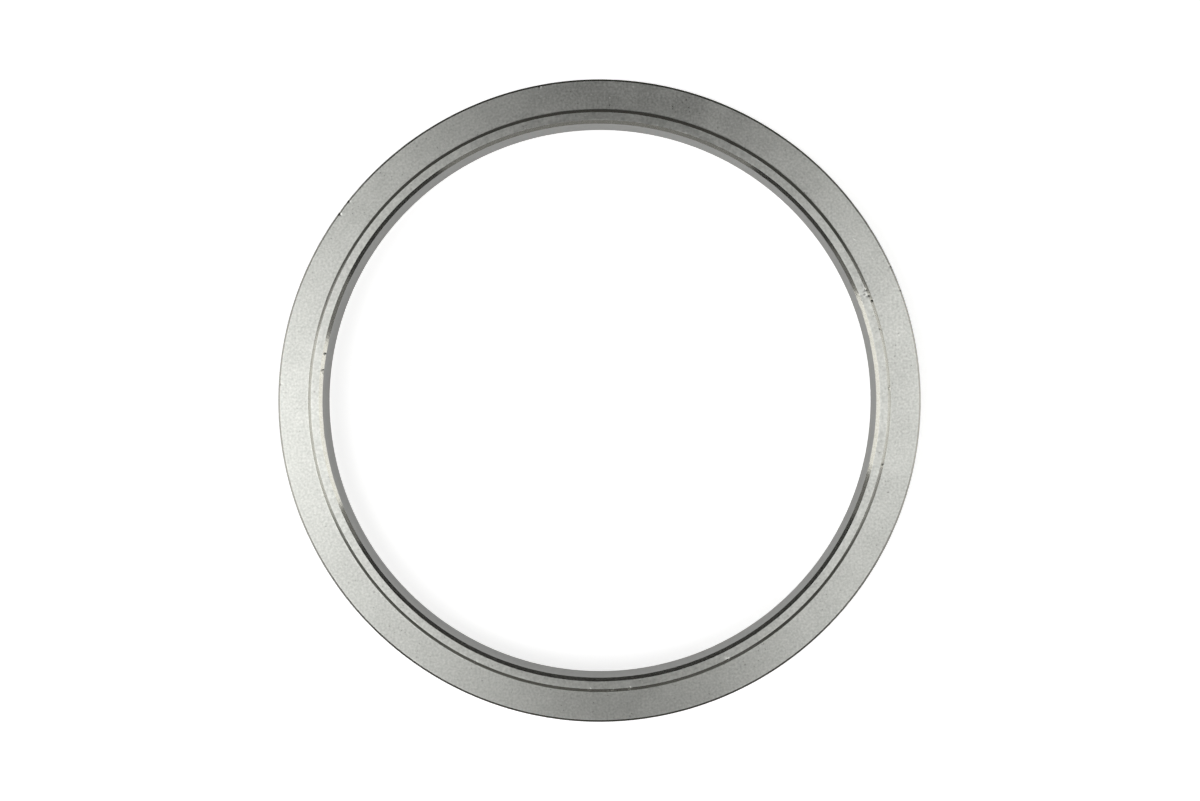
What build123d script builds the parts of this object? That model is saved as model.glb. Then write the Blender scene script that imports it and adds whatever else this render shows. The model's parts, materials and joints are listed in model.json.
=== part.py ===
"""Weld-on V-band flange for 4 inch tube, turned in one piece. All sizes are in millimetres.

The mating face looks up. A register lip stands on it round the bore and pilots the opposite flange.
The back of the rim is a cone, which the clamp's groove wedges against. Below it a plain hub takes the
tube, which slips into the bore from the hub's end and is welded there.

Origin: on the axis, in the plane of the hub's end. +Z runs along the axis, towards the mating face.
"""
import os
from math import radians, tan

from build123d import *

# Tube and bore
tube_diameter = 101.6
tube_clearance = 0.1
bore_mouth_chamfer = 0.65
bore_lead_in = 0.4

# Mating side: widths are measured along the radius
register_wall = 2.65
register_height = 1.0
register_chamfer = 0.6
register_root_radius = 0.1
face_width = 5.6
rim_front_chamfer = 0.3

# Clamp rim and welding hub
rim_land = 2.0
rim_back_radius = 0.3
flank_angle = 20.0
hub_wall = 2.9
hub_length = 7.75
hub_root_radius = 1.5
hub_end_chamfer = 0.5

# Radii, outwards from the tube
bore_radius = tube_diameter / 2 + tube_clearance
hub_radius = bore_radius + hub_wall
register_radius = bore_radius + register_wall
rim_radius = register_radius + face_width

# Heights, upwards from the hub's end
flank_rise = (rim_radius - hub_radius) * tan(radians(flank_angle))
rim_back_height = hub_length + flank_rise
mating_height = rim_back_height + rim_land
register_top = mating_height + register_height

# Corners of half the section, as (radius, height)
bore_back = (bore_radius, 0)
hub_corner = (hub_radius, 0)
hub_root = (hub_radius, hub_length)
rim_back = (rim_radius, rim_back_height)
rim_front = (rim_radius, mating_height)
register_root = (register_radius, mating_height)
register_edge = (register_radius, register_top)
bore_mouth = (bore_radius, register_top)

with BuildPart() as flange_ring:
    with BuildSketch(Plane.XZ) as section:
        with BuildLine():
            Polyline(
                bore_back,
                hub_corner,
                hub_root,
                rim_back,
                rim_front,
                register_root,
                register_edge,
                bore_mouth,
                close=True,
            )
        make_face()

        def corner(point):
            """The section's corner at this point."""
            return section.vertices().sort_by_distance(point)[0]

        # The tool's nose leaves these two inner corners round
        fillet(corner(hub_root), radius=hub_root_radius)
        fillet(corner(register_root), radius=register_root_radius)

        # Broken and bevelled outer corners
        fillet(corner(rim_back), radius=rim_back_radius)
        chamfer(corner(rim_front), length=rim_front_chamfer)
        chamfer(corner(register_edge), length=register_chamfer)
        chamfer(corner(bore_mouth), length=bore_mouth_chamfer)
        chamfer(corner(bore_back), length=bore_lead_in)
        chamfer(corner(hub_corner), length=hub_end_chamfer)
    revolve(axis=Axis.Z)

flange_ring.part.label = "flange_ring"

os.makedirs("parts", exist_ok=True)
export_step(flange_ring.part, "parts/flange_ring.step")
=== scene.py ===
import json
import math

import bpy
import numpy as np
from mathutils import Matrix, Vector


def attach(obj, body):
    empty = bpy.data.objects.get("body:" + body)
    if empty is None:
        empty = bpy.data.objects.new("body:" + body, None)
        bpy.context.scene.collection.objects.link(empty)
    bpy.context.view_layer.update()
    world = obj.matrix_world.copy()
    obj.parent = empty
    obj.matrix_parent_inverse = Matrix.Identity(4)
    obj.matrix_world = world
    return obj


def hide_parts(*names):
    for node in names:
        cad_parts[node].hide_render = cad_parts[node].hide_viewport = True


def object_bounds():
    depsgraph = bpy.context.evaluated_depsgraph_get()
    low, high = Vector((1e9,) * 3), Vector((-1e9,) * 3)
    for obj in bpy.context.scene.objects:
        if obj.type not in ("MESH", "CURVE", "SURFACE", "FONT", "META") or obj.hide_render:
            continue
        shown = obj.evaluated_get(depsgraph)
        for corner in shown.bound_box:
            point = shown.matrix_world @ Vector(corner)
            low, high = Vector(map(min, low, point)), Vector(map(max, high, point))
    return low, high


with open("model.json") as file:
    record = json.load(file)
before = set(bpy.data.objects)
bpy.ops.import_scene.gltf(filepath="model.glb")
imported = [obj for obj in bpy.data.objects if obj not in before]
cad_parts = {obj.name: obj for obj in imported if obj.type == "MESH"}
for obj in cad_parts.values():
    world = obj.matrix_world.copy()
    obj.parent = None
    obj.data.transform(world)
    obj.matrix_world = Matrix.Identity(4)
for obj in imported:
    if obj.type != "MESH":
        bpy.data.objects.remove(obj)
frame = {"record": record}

cad_low, cad_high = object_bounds()


# The flange is one ring of stainless steel, turned from a blank on a lathe: the mating face, the
# register lip, the bore, the clamp rim with its conical back and the welding hub are one piece.
# It has been handled and stacked, so its corners and faces carry small nicks, pits and scratches.

MILLIMETRE = 0.001

mounts = {mount["name"]: mount for mount in frame["record"]["mounts"]}
bore_radius = mounts["tube_bore"]["dims"]["r_mm"] * MILLIMETRE
register_radius = mounts["register_lip"]["dims"]["r_mm"] * MILLIMETRE
mating_height = mounts["mating_face"]["pos_m"][2]
rim_radius = cad_high.x
register_top = cad_high.z

bore_mouth_chamfer = 0.65 * MILLIMETRE
bore_lead_in = 0.4 * MILLIMETRE
register_chamfer = 0.6 * MILLIMETRE
register_root_radius = 0.1 * MILLIMETRE
rim_land = 2.0 * MILLIMETRE
rim_back_radius = 0.3 * MILLIMETRE
flank_angle = math.radians(20)
hub_wall = 2.9 * MILLIMETRE
hub_radius = bore_radius + hub_wall
hub_root_radius = 1.5 * MILLIMETRE
hub_end_chamfer = 0.5 * MILLIMETRE

# The bevel on the rim's front was cut at 0.3 mm, and knocks have worn it a little broader
rim_front_chamfer = 0.38 * MILLIMETRE

# What each tool leaves: roughness, share of the steel's brightness, strength of the turning lines
# and how warm the steel looks. The bore wall's and the rim bevel's shares also carry painted shade.
faced = {"roughness": 0.32, "brightness": 1.0, "lines": 0.15, "warmth": 0.0}
# The bore wall is darkened partly by its rougher bored finish and partly by painted shade inside the bore
bored_and_shaded = {"roughness": 0.34, "brightness": 0.31, "lines": 0.8, "warmth": 0.3}
turned = {"roughness": 0.34, "brightness": 0.85, "lines": 0.8, "warmth": 0.3}
bevelled = {"roughness": 0.16, "brightness": 0.95, "lines": 0.1, "warmth": 1.0}
# The rim's bevel is darkened by painted shade, standing in for the darker reflection along it
rim_bevel_shaded = {"roughness": 0.16, "brightness": 0.68, "lines": 0.1, "warmth": 1.0}


def straight(start, end, steps):
    """Points from start towards end, closer together near both ends, without the end itself."""
    share = (1 - np.cos(np.pi * np.arange(steps) / steps)) / 2
    return np.outer(1 - share, start) + np.outer(share, end)


def rounded(centre, radius, from_degrees, to_degrees, steps):
    """Points on an arc: centre plus radius times (cosine, sine) of the turning angle, without the last."""
    turn = np.radians(from_degrees + (to_degrees - from_degrees) * np.arange(steps) / steps)
    return np.array(centre) + radius * np.column_stack((np.cos(turn), np.sin(turn)))


def section_runs():
    """The half section, clockwise from the bore's mouth, as (tool, how the run starts, points).

    A run starts at a sharp corner, smooth with the run before it, or smooth with a bright band beside it,
    partly wear and partly painted highlight.
    """
    flank_degrees = math.degrees(flank_angle)
    flank_drop = (rim_radius - hub_radius) * math.tan(flank_angle)
    hub_length = mating_height - rim_land - flank_drop

    # An arc between the flank and an upright wall starts this many radii from their corner
    tangent_share = math.tan((math.pi / 2 - flank_angle) / 2)
    rim_back_centre = (
        rim_radius - rim_back_radius,
        mating_height - rim_land + rim_back_radius * tangent_share,
    )
    hub_root_centre = (hub_radius + hub_root_radius, hub_length - hub_root_radius * tangent_share)
    register_root_centre = (register_radius + register_root_radius, mating_height + register_root_radius)
    corners = {
        "lip_top": (bore_radius + bore_mouth_chamfer, register_top),
        "lip_bevel": (register_radius - register_chamfer, register_top),
        "lip_side": (register_radius, register_top - register_chamfer),
        "lip_root": (register_radius, register_root_centre[1]),
        "mating_face": (register_root_centre[0], mating_height),
        "rim_bevel": (rim_radius - rim_front_chamfer, mating_height),
        "rim_land": (rim_radius, mating_height - rim_front_chamfer),
        "rim_back": (rim_radius, rim_back_centre[1]),
        "hub_wall": (hub_radius, hub_root_centre[1]),
        "hub_bevel": (hub_radius, hub_end_chamfer),
        "hub_end": (hub_radius - hub_end_chamfer, 0),
        "lead_in": (bore_radius + bore_lead_in, 0),
        "bore_wall": (bore_radius, bore_lead_in),
        "bore_mouth": (bore_radius, register_top - bore_mouth_chamfer),
    }
    rim_back = rounded(rim_back_centre, rim_back_radius, 0, flank_degrees - 90, 3)
    hub_root = rounded(hub_root_centre, hub_root_radius, 90 + flank_degrees, 180, 6)
    flank_start = np.array(rim_back_centre) + rim_back_radius * np.array(
        (math.sin(flank_angle), -math.cos(flank_angle))
    )
    return [
        (faced, "sharp", straight(corners["lip_top"], corners["lip_bevel"], 8)),
        (bevelled, "sharp", straight(corners["lip_bevel"], corners["lip_side"], 5)),
        (faced, "sharp", straight(corners["lip_side"], corners["lip_root"], 3)),
        (faced, "smooth", rounded(register_root_centre, register_root_radius, 180, 270, 3)),
        (faced, "worn", straight(corners["mating_face"], corners["rim_bevel"], 13)),
        (rim_bevel_shaded, "sharp", straight(corners["rim_bevel"], corners["rim_land"], 3)),
        (turned, "sharp", straight(corners["rim_land"], corners["rim_back"], 4)),
        (turned, "smooth", rim_back),
        (turned, "smooth", straight(flank_start, hub_root[0], 3)),
        (turned, "smooth", hub_root),
        (turned, "smooth", straight(corners["hub_wall"], corners["hub_bevel"], 4)),
        (bevelled, "sharp", straight(corners["hub_bevel"], corners["hub_end"], 2)),
        (faced, "sharp", straight(corners["hub_end"], corners["lead_in"], 4)),
        (bevelled, "sharp", straight(corners["lead_in"], corners["bore_wall"], 2)),
        (bored_and_shaded, "sharp", straight(corners["bore_wall"], corners["bore_mouth"], 7)),
        (bevelled, "sharp", straight(corners["bore_mouth"], corners["lip_top"], 5)),
    ]


def face_height(radius):
    """Height of the upper side at this radius: straight from corner to corner of the section's top."""
    corners = (
        (bore_radius, register_top - bore_mouth_chamfer),
        (bore_radius + bore_mouth_chamfer, register_top),
        (register_radius - register_chamfer, register_top),
        (register_radius, register_top - register_chamfer),
        (register_radius + register_root_radius, mating_height),
    )
    return np.interp(radius, *zip(*corners))


# Dents that show in outline: degrees round the ring from +X towards +Y, then the radius, the width
# and the depth in millimetres.
dents = [
    (22.6, 52.84, 0.20, 0.08),
    (21.9, 52.45, 0.18, 0.06),
    (21.4, 52.95, 0.24, 0.07),
    (20.15, 53.28, 0.15, 0.20),
    (14.4, 53.08, 0.14, 0.12),
    (2.4, 53.30, 0.22, 0.14),
    (347.2, 53.40, 0.16, 0.16),
    (244.7, 53.10, 0.22, 0.14),
    (268.1, 53.02, 0.16, 0.10),
    (272.6, 53.15, 0.24, 0.12),
    (276.0, 53.10, 0.26, 0.12),
    (296.5, 52.90, 0.22, 0.12),
    (170.4, 51.05, 0.16, 0.10),
    (173.8, 51.05, 0.18, 0.12),
    (24.8, 58.95, 0.22, 0.10),
    (20.2, 58.98, 0.20, 0.12),
    (100.8, 58.98, 0.26, 0.16),
    (141.5, 58.85, 0.16, 0.08),
    (144.3, 58.80, 0.20, 0.10),
    (177.0, 58.98, 0.24, 0.16),
]

# Even steps round the ring, and finer ones in a window on each side of a dent, in degrees
even_steps = 720
dent_half_window = 0.6
dent_step = 0.06

# The corners are worn by waves, each with its own number of ripples round the ring
corner_wobble = 0.012 * MILLIMETRE
wobble_seed = 7
wobble_waves = 10
wobble_gain = 2
fewest_ripples, most_ripples = 20, 260
wear_and_highlight_reach = 0.25 * MILLIMETRE


def angles_round_ring():
    """Angles in radians: even steps all round and finer ones through each dent, to 0.001 degree."""
    even = np.arange(even_steps) * 360 / even_steps
    window = np.arange(-dent_half_window, dent_half_window, dent_step)
    fine = [degrees + window for degrees, *_ in dents]
    every = np.concatenate([even, *fine]) % 360
    return np.radians(np.unique(every.round(3)))


def press_dents(points, outward):
    """Moves points inwards by a dent's depth times exp of minus (distance / width) squared."""
    for degrees, radius, width, depth in dents:
        turn = math.radians(degrees)
        reach = radius * MILLIMETRE
        middle = (reach * math.cos(turn), reach * math.sin(turn), face_height(reach))
        distance = np.linalg.norm(points - middle, axis=-1) / (width * MILLIMETRE)
        points = points - outward * (depth * MILLIMETRE * np.exp(-(distance**2)))[..., None]
    return points


def worn_corners(angles, is_corner):
    """How far each row is worn at each angle: at corners, wobble times (gain times mean wave) squared."""
    rng = np.random.default_rng(wobble_seed)
    size = (len(is_corner), wobble_waves, 1)
    waves = rng.integers(fewest_ripples, most_ripples, size=size)
    phases = rng.uniform(0, 2 * np.pi, size=size)
    rippled = np.cos(waves * angles + phases).mean(axis=1) * wobble_gain
    return corner_wobble * rippled**2 * is_corner[:, None]


def ring_mesh(name):
    """A closed surface: each section point (radius, height) carried round the axis through every angle."""
    runs = section_runs()
    section = np.concatenate([points for _, _, points in runs])
    angles = angles_round_ring()
    rows, columns = len(section), len(angles)
    along = np.column_stack((np.cos(angles), np.sin(angles)))

    # Outwards is square to the mean heading of the steps before and after each section point
    after = np.roll(section, -1, axis=0) - section
    before = section - np.roll(section, 1, axis=0)
    after_length = np.linalg.norm(after, axis=1)
    before_length = np.linalg.norm(before, axis=1)
    heading = after / after_length[:, None] + before / before_length[:, None]
    heading /= np.linalg.norm(heading, axis=1)[:, None]
    section_outward = np.column_stack((-heading[:, 1], heading[:, 0]))

    def carry_round(pairs):
        """Turns (radius, height) pairs about the axis into a grid of (x, y, z)."""
        flat = pairs[:, None, 0, None] * along[None]
        upright = np.broadcast_to(pairs[:, None, 1, None], (rows, columns, 1))
        return np.concatenate((flat, upright), axis=2)

    def on_first_rows(kinds):
        """True for the first row of each run that starts in one of these ways."""
        return np.concatenate(
            [(np.arange(len(points)) == 0) & (start in kinds) for _, start, points in runs]
        )

    def by_row(trait):
        """The tool's value for this trait on each row."""
        return np.concatenate([np.full(len(points), tool[trait]) for tool, _, points in runs])

    # Corners left by the tool stay sharp all round, and wear unevenly
    is_corner = on_first_rows(("sharp",))
    outward = carry_round(section_outward)
    points = press_dents(carry_round(section), outward)
    points = points - outward * worn_corners(angles, is_corner)[..., None]

    row = np.arange(rows)[:, None]
    column = np.arange(columns)[None]
    next_row = (row + 1) % rows
    next_column = (column + 1) % columns
    faces = np.stack(
        np.broadcast_arrays(
            row * columns + column,
            next_row * columns + column,
            next_row * columns + next_column,
            row * columns + next_column,
        ),
        axis=-1,
    ).reshape(-1, 4)

    mesh = bpy.data.meshes.new(name)
    mesh.from_pydata(points.reshape(-1, 3), [], faces)
    mesh.polygons.foreach_set("use_smooth", np.ones(len(faces), dtype=bool))

    # One turn of the ring is 0 to 1 across the map, and the way round the section 0 to 1 up it
    walked = np.concatenate(((0,), np.cumsum(after_length)))
    up = walked / walked[-1]
    across = np.append(angles, 2 * math.pi) / (2 * math.pi)
    corners_across = np.stack(
        np.broadcast_arrays(across[column], across[column], across[column + 1], across[column + 1]), axis=-1
    )
    corners_up = np.stack(np.broadcast_arrays(up[row], up[row + 1], up[row + 1], up[row]), axis=-1)
    shape = (rows, columns, 4)
    uv = np.stack((np.broadcast_to(corners_across, shape), np.broadcast_to(corners_up, shape)), axis=-1)
    mesh.uv_layers.new(name="turning").data.foreach_set("uv", uv.astype(np.float32).ravel())

    ends = np.empty(len(mesh.edges) * 2, dtype=np.int32)
    mesh.edges.foreach_get("vertices", ends)
    end_rows = ends.reshape(-1, 2) // columns
    is_sharp = (end_rows[:, 0] == end_rows[:, 1]) & is_corner[end_rows[:, 0]]
    mesh.attributes.new("sharp_edge", "BOOLEAN", "EDGE").data.foreach_set("value", is_sharp)

    for trait in faced:
        left_by_tool = mesh.attributes.new(f"tool_{trait}", "FLOAT", "FACE")
        left_by_tool.data.foreach_set("value", np.repeat(by_row(trait).astype(np.float32), columns))

    # Faces are painted brighter beside their edges, partly rubbed wear and partly a painted highlight: full
    # at the edge and gone at the wear's reach
    is_edge = on_first_rows(("sharp", "worn"))
    apart = np.linalg.norm(section[:, None] - section[None, is_edge], axis=-1).min(axis=1)
    rubbed_and_highlit = np.clip(1 - apart / wear_and_highlight_reach, 0, 1) * (is_edge | (by_row("warmth") == faced["warmth"]))
    wear = mesh.attributes.new("edge_wear_and_highlight", "FLOAT", "POINT")
    wear.data.foreach_set("value", np.repeat(rubbed_and_highlit.astype(np.float32), columns))
    mesh.validate()
    mesh.update()
    return mesh


# Small marks that show as tone only: degrees round the ring, the radius, length and width in
# millimetres, the way it points in degrees, and how much brighter or darker the steel is there.
marks = [
    # The worst knock, across the lip's corner at the upper right
    (22.3, 53.02, 0.20, 0.12, 70, 0.2),
    (21.6, 52.70, 0.24, 0.12, 80, 0.3),
    (22.7, 52.80, 0.22, 0.14, 20, -0.5),
    (21.9, 52.40, 0.28, 0.14, 60, -0.4),
    (21.5, 53.05, 0.26, 0.14, 70, -0.45),
    (20.15, 53.38, 0.30, 0.24, 0, -1.6),
    (24.2, 53.76, 0.16, 0.12, 0, 0.5),
    (22.4, 51.10, 0.26, 0.16, 60, -0.5),
    # Marks on the lip, on its bevels and on the rim's edge
    (14.4, 53.08, 0.20, 0.15, 0, -0.6),
    (6.9, 52.37, 0.20, 0.14, 0, -0.3),
    (3.4, 53.98, 0.36, 0.22, 0, -0.25),
    (2.9, 53.40, 0.34, 0.18, 0, -0.4),
    (2.4, 53.86, 0.22, 0.18, 60, -0.35),
    (1.5, 52.20, 0.22, 0.16, 0, 0.25),
    (347.2, 53.42, 0.22, 0.18, 0, -0.75),
    (268.3, 53.05, 0.22, 0.16, 0, -0.5),
    (267.8, 53.02, 0.20, 0.14, 0, 0.7),
    (271.8, 53.30, 0.22, 0.14, 20, 0.9),
    (272.3, 53.55, 0.24, 0.16, 0, -0.5),
    (272.9, 53.10, 0.22, 0.14, 60, 0.8),
    (273.6, 53.45, 0.26, 0.18, 0, -0.5),
    (278.3, 51.94, 0.22, 0.16, 0, -0.4),
    (296.5, 52.81, 0.30, 0.14, 20, 0.5),
    (170.5, 51.10, 0.24, 0.16, 0, -0.5),
    (174.3, 51.05, 0.34, 0.16, 90, -0.5),
    (100.8, 58.90, 0.30, 0.14, 10, 0.6),
    (176.6, 58.92, 0.24, 0.14, 90, -0.6),
    # Scratches and pits on the faces
    (32.3, 55.48, 0.55, 0.12, 150, 0.4),
    (12.7, 56.38, 0.24, 0.18, 0, -0.35),
    (12.3, 56.38, 0.22, 0.16, 0, 0.25),
    (53.4, 57.37, 0.26, 0.16, 60, -0.4),
    (56.2, 56.78, 0.22, 0.14, 0, -0.35),
    (72.1, 51.80, 0.22, 0.14, 0, 0.5),
    (78.1, 51.69, 0.24, 0.14, 0, 0.5),
    (83.8, 58.05, 0.24, 0.18, 0, 0.5),
    (88.0, 55.72, 0.24, 0.20, 0, 0.55),
    (91.4, 56.36, 0.20, 0.16, 0, 0.4),
    (92.8, 52.44, 0.20, 0.14, 0, 0.5),
    (94.1, 54.78, 0.24, 0.18, 0, -0.35),
    (105.2, 51.74, 0.24, 0.14, 10, 0.5),
    (127.8, 54.20, 0.26, 0.16, 60, -0.35),
    (131.0, 55.16, 0.30, 0.14, 40, -0.35),
    (132.8, 56.16, 0.24, 0.16, 0, -0.35),
    (142.8, 56.99, 0.22, 0.18, 0, -0.4),
    (204.7, 55.37, 0.24, 0.16, 20, -0.35),
    (222.6, 56.32, 0.22, 0.18, 0, -0.4),
    (236.6, 56.47, 0.24, 0.16, 0, -0.4),
    (247.3, 55.84, 0.24, 0.18, 0, -0.4),
    (253.3, 55.84, 0.60, 0.12, 75, -0.4),
    (271.7, 54.28, 0.26, 0.18, 0, -0.4),
    (295.9, 58.02, 0.24, 0.16, 0, -0.35),
    (335.8, 57.06, 0.24, 0.18, 0, -0.4),
]
mark_reach_up = 0.4
mark_full_share = 0.2

steel = (0.45, 0.455, 0.43)
warm_steel = (0.46, 0.456, 0.42)
turning_stretch = 0.8
quarter_turn = 0.25

# How many cells of each pattern lie along a millimetre, and how far a pit or speck reaches in its cell
grain_scale = 2.4
cloud_scale = 0.22
pit_scale = 0.5
speck_scale = 0.7
dot_reach = 0.1

# How many cells of the turning lines lie along one turn of the ring, and how many round its section
lines_along, lines_across = 5, 260

# How much each pattern adds to the steel's brightness, as a share of it, and the darkest it gets
grain_tone = 1.2
cloud_tone = 0.11
line_tone = 0.4
# Brightness added beside edges: partly rubbed wear, partly a painted highlight
wear_and_highlight_tone = 0.08
speck_tone = 0.25
pit_tone = -0.05
darkest_tone = 0.02

# How much each pattern changes the roughness, as a share of it
cloud_roughness = 0.3
grain_roughness = 0.85

# How high each pattern stands, in millimetres
grain_height = 0.018
line_height = 0.002
pit_height = -0.003


def turned_steel():
    """Bare stainless steel: fine turning lines under a handled, slightly mottled satin finish."""
    material = bpy.data.materials.new("turned_stainless_steel")
    material.use_nodes = True
    nodes, links = material.node_tree.nodes, material.node_tree.links

    def node(kind, settings, inputs):
        """A new node with these settings, each input either linked to a socket or set to a value."""
        made = nodes.new("ShaderNode" + kind)
        for name, value in settings.items():
            setattr(made, name, value)
        for name, value in inputs.items():
            if isinstance(value, bpy.types.NodeSocket):
                links.new(value, made.inputs[name])
            else:
                made.inputs[name].default_value = value
        return made

    def calculate(operation, first, second):
        return node("Math", {"operation": operation}, {0: first, 1: second}).outputs[0]

    def attribute(name):
        return node("Attribute", {"attribute_name": name}, {}).outputs["Fac"]

    def swing(noise_socket, amount):
        """A noise value from 0 to 1 turned into one from minus amount to amount."""
        return node(
            "MapRange", {"clamp": False}, {"Value": noise_socket, "To Min": -amount, "To Max": amount}
        ).outputs["Result"]

    def noise(vector, scale, detail):
        return node("TexNoise", {}, {"Vector": vector, "Scale": scale, "Detail": detail}).outputs["Fac"]

    def faded(distance, full, gone, strength):
        """This strength up to one distance, then a smooth step down to nothing at another."""
        return node(
            "MapRange",
            {"interpolation_type": "SMOOTHSTEP"},
            {"Value": distance, "From Min": full, "From Max": gone, "To Min": strength, "To Max": 0},
        ).outputs["Result"]

    def scattered(vector, scale):
        """Full at scattered points and gone at a dot's reach from them."""
        cells = node("TexVoronoi", {}, {"Vector": vector, "Scale": scale})
        return faded(cells.outputs["Distance"], 0, dot_reach, 1)

    place = node("TexCoord", {}, {}).outputs["Object"]
    place_mm = node("VectorMath", {"operation": "SCALE"}, {0: place, "Scale": 1 / MILLIMETRE}).outputs[0]
    turning = node("UVMap", {"uv_map": "turning"}, {}).outputs["UV"]

    grain = noise(place_mm, grain_scale, detail=2)
    clouds = noise(place_mm, cloud_scale, detail=3)
    pits = scattered(place_mm, pit_scale)
    specks = scattered(place_mm, speck_scale)

    # Turning lines run round the ring: fine across the section, very long along the turn
    stretch = (lines_along, lines_across, 0)
    stretched = node("VectorMath", {"operation": "MULTIPLY"}, {0: turning, 1: stretch}).outputs[0]
    lines = noise(stretched, 1, detail=2)

    # Each mark is an ellipsoid in its own place, full in the middle and gone at its edge
    marked = None
    for degrees, radius, length, width, pointing, strength in marks:
        turn = math.radians(degrees)
        height = face_height(radius * MILLIMETRE) / MILLIMETRE
        local = node(
            "Mapping",
            {"vector_type": "TEXTURE"},
            {
                "Vector": place_mm,
                "Location": (radius * math.cos(turn), radius * math.sin(turn), height),
                "Rotation": (0, 0, math.radians(pointing)),
                "Scale": (length, width, mark_reach_up),
            },
        ).outputs[0]
        distance = node("VectorMath", {"operation": "LENGTH"}, {0: local}).outputs["Value"]
        shade = faded(distance, mark_full_share, 1, strength)
        marked = calculate("ADD", marked, shade) if marked else shade

    # The smoother a cut, the more even it is too
    tool_roughness = attribute("tool_roughness")
    line_strength = attribute("tool_lines")
    brightness = 1.0
    for added in (
        calculate("MULTIPLY", swing(grain, grain_tone), tool_roughness),
        swing(clouds, cloud_tone),
        calculate("MULTIPLY", swing(lines, line_tone), line_strength),
        # Painted highlight and wear beside the edges
        calculate("MULTIPLY", attribute("edge_wear_and_highlight"), wear_and_highlight_tone),
        calculate("MULTIPLY", specks, speck_tone),
        calculate("MULTIPLY", pits, pit_tone),
        marked,
    ):
        brightness = calculate("ADD", brightness, added)
    brightness = calculate("MAXIMUM", brightness, darkest_tone)
    brightness = calculate("MULTIPLY", brightness, attribute("tool_brightness"))
    tint = node(
        "Mix",
        {"data_type": "RGBA"},
        {"Factor": attribute("tool_warmth"), "A": (*steel, 1), "B": (*warm_steel, 1)},
    ).outputs["Result"]
    colour = node("VectorMath", {"operation": "SCALE"}, {0: tint, "Scale": brightness}).outputs[0]

    unevenness = calculate("ADD", swing(clouds, cloud_roughness), swing(grain, grain_roughness))
    unevenness = calculate("MULTIPLY", unevenness, tool_roughness)
    roughness = calculate("MULTIPLY", tool_roughness, calculate("ADD", 1.0, unevenness))

    grain_left = calculate("MULTIPLY", grain, tool_roughness)
    lines_left = calculate("MULTIPLY", lines, line_strength)
    height = calculate("MULTIPLY", grain_left, grain_height)
    height = calculate("ADD", height, calculate("MULTIPLY", lines_left, line_height))
    height = calculate("ADD", height, calculate("MULTIPLY", pits, pit_height))
    relief = node("Bump", {}, {"Strength": 1.0, "Distance": MILLIMETRE, "Height": height}).outputs["Normal"]

    # The tangent runs round the ring, and a quarter turn stretches the reflections across the lines
    shader = nodes["Principled BSDF"]
    shader.inputs["Metallic"].default_value = 1.0
    shader.inputs["Anisotropic"].default_value = turning_stretch
    shader.inputs["Anisotropic Rotation"].default_value = quarter_turn
    tangent = node("Tangent", {"direction_type": "UV_MAP", "uv_map": "turning"}, {}).outputs["Tangent"]
    links.new(colour, shader.inputs["Base Color"])
    links.new(roughness, shader.inputs["Roughness"])
    links.new(tangent, shader.inputs["Tangent"])
    links.new(relief, shader.inputs["Normal"])
    return material


ring = bpy.data.objects.new("turned_flange_ring", ring_mesh("turned_flange_ring"))
bpy.context.scene.collection.objects.link(ring)
ring.data.materials.append(turned_steel())
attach(ring, "root")
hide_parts("flange_ring")


# Camera: almost straight above the mating face, a little to the right of the axis, with the lens of
# a product photograph taken from about half a metre away. Up in the picture is +Y.

# Measured in the photograph, in pixels
image_width = 1200
rim_radius_in_image = 321.6

sensor_width = 36.0
camera_height = 484.5 * MILLIMETRE
camera_right = 5.4 * MILLIMETRE
camera_up = 0.7 * MILLIMETRE
aim_right = 0.17 * MILLIMETRE
aim_up = 0.03 * MILLIMETRE

camera_place = Vector((camera_right, camera_up, mating_height + camera_height))
backwards = (camera_place - Vector((aim_right, aim_up, mating_height))).normalized()
rightwards = Vector((0, 1, 0)).cross(backwards).normalized()
upwards = backwards.cross(rightwards)

camera_data = bpy.data.cameras.new("camera")
camera_data.sensor_width = sensor_width
camera_data.lens = sensor_width * rim_radius_in_image * camera_height / rim_radius / image_width
camera = bpy.data.objects.new("camera", camera_data)
camera_turn = Matrix((rightwards, upwards, backwards)).transposed().to_4x4()
camera.matrix_world = Matrix.Translation(camera_place) @ camera_turn
bpy.context.scene.collection.objects.link(camera)
bpy.context.scene.camera = camera


# Floor: a plain sheet of white paper. Two dark cards lie on it beyond the photograph's frame, one
# above and one below the ring. Like the lamps they are hidden from the camera: only the steel
# mirrors them, which draws the photograph's dark lines along the bevels.

floor_half_size = 3.0
floor_glow = 0.58
card_from_axis = 0.078
card_height = 0.3 * MILLIMETRE

paper_white = (0.9, 0.9, 0.9)
card_black = (0.12, 0.116, 0.106)
matt_roughness = 0.9


def flat_sheet(name, near, far, height, colour):
    """A level rectangle across the whole floor from near to far, of one matt colour."""
    mesh = bpy.data.meshes.new(name)
    across = (-floor_half_size, floor_half_size, floor_half_size, -floor_half_size)
    corners = [(x, y, height) for x, y in zip(across, (near, near, far, far))]
    mesh.from_pydata(corners, [], [(0, 1, 2, 3)])
    sheet = bpy.data.objects.new(name, mesh)
    bpy.context.scene.collection.objects.link(sheet)
    paint = bpy.data.materials.new(name)
    paint.use_nodes = True
    shader = paint.node_tree.nodes["Principled BSDF"]
    shader.inputs["Base Color"].default_value = (*colour, 1)
    shader.inputs["Roughness"].default_value = matt_roughness
    mesh.materials.append(paint)
    return sheet, paint.node_tree, shader


for card_name, near, far in (
    ("dark_card_above", card_from_axis, floor_half_size),
    ("dark_card_below", -floor_half_size, -card_from_axis),
):
    card, _, _ = flat_sheet(card_name, near, far, card_height, card_black)
    card.visible_camera = False
    card.visible_diffuse = False
    card.visible_shadow = False

_, tree, paper = flat_sheet("white_paper", -floor_half_size, floor_half_size, 0, paper_white)

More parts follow.
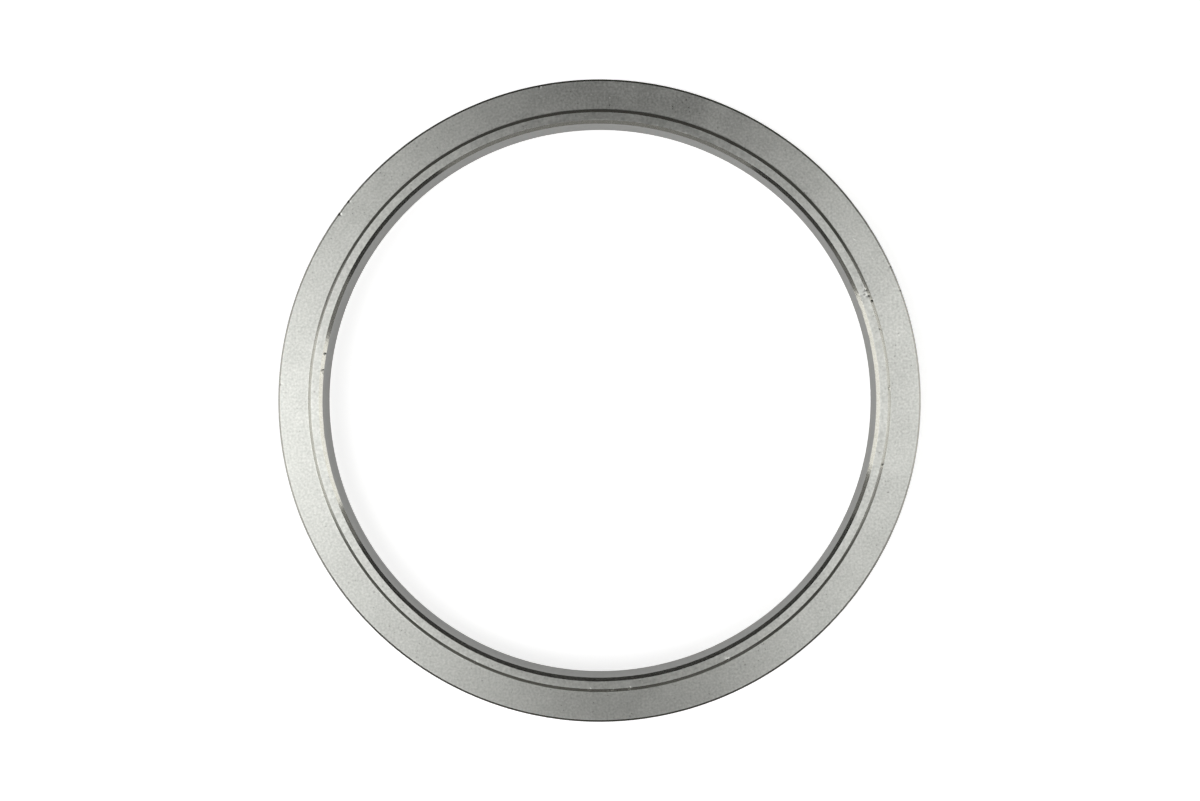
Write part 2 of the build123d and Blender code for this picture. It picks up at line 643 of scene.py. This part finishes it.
# The paper glows to camera, mirrored and passed-through rays alone, so it is a clean white to them
# and still takes the ring's shadow
rays = tree.nodes.new("ShaderNodeLightPath")
camera_or_steel = tree.nodes.new("ShaderNodeMath")
camera_or_steel.operation = "MAXIMUM"
seen = tree.nodes.new("ShaderNodeMath")
seen.operation = "MAXIMUM"
glow = tree.nodes.new("ShaderNodeMath")
glow.operation = "MULTIPLY"
glow.inputs[1].default_value = floor_glow
tree.links.new(rays.outputs["Is Camera Ray"], camera_or_steel.inputs[0])
tree.links.new(rays.outputs["Is Glossy Ray"], camera_or_steel.inputs[1])
tree.links.new(camera_or_steel.outputs[0], seen.inputs[0])
tree.links.new(rays.outputs["Is Transmission Ray"], seen.inputs[1])
tree.links.new(seen.outputs[0], glow.inputs[0])
tree.links.new(glow.outputs[0], paper.inputs["Emission Strength"])
paper.inputs["Emission Color"].default_value = (1, 1, 1, 1)


# Light: four soft boxes overhead, the strongest at the front left, a tall one on each side that
# reaches down to the floor and has a wider, dimmer one behind it, and a low dim one in front. No low
# box stands at the back.

def soft_box(name, place, aim, across, up, radiance, colour):
    """A rectangular lamp at place facing aim. Its power is radiance times pi times its area."""
    lamp = bpy.data.lights.new(name, "AREA")
    lamp.shape = "RECTANGLE"
    lamp.size, lamp.size_y = across, up
    lamp.energy = radiance * math.pi * across * up
    lamp.color = colour
    box = bpy.data.objects.new(name, lamp)
    box.location = place
    box.rotation_mode = "QUATERNION"
    box.rotation_quaternion = (Vector(place) - Vector(aim)).to_track_quat("Z", "Y")
    box.visible_camera = False
    bpy.context.scene.collection.objects.link(box)


neutral = (1, 1, 1)
warm = (1, 0.995, 0.965)
soft_box("overhead_left", (-0.71, -0.37, 1.5), (0, 0, 0), 1.02, 1.12, 2.6, neutral)
soft_box("overhead_right", (0.74, -0.15, 1.5), (0, 0, 0), 1.18, 1.18, 1.74, neutral)
soft_box("overhead_front", (0.1, -0.56, 1.5), (0, 0, 0), 0.9, 0.26, 1.15, neutral)
soft_box("overhead_back_left", (-0.66, 0.26, 1.5), (0, 0, 0), 0.87, 0.96, 1.45, neutral)
soft_box("left_side", (-1.5, -0.12, 0.5), (0, -0.12, 0.5), 1.0, 1.0, 1.67, warm)
soft_box("left_side_spill", (-1.51, -0.15, 0.5), (0, -0.15, 0.5), 1.64, 1.0, 0.2, warm)
soft_box("right_side", (1.5, 0.13, 0.5), (0, 0.13, 0.5), 0.95, 1.0, 1.65, warm)
soft_box("right_side_spill", (1.51, 0.07, 0.5), (0, 0.07, 0.5), 1.66, 1.0, 0.25, warm)
soft_box("front_low", (0, -1.5, 0.3), (0, 0, 0.3), 2.0, 0.55, 0.34, warm)

room_light = 0.04

world = bpy.data.worlds.new("studio")
world.use_nodes = True
room = world.node_tree.nodes["Background"]
room.inputs["Color"].default_value = (*neutral, 1)
room.inputs["Strength"].default_value = room_light
bpy.context.scene.world = world
bpy.context.scene.view_settings.view_transform = "Standard"
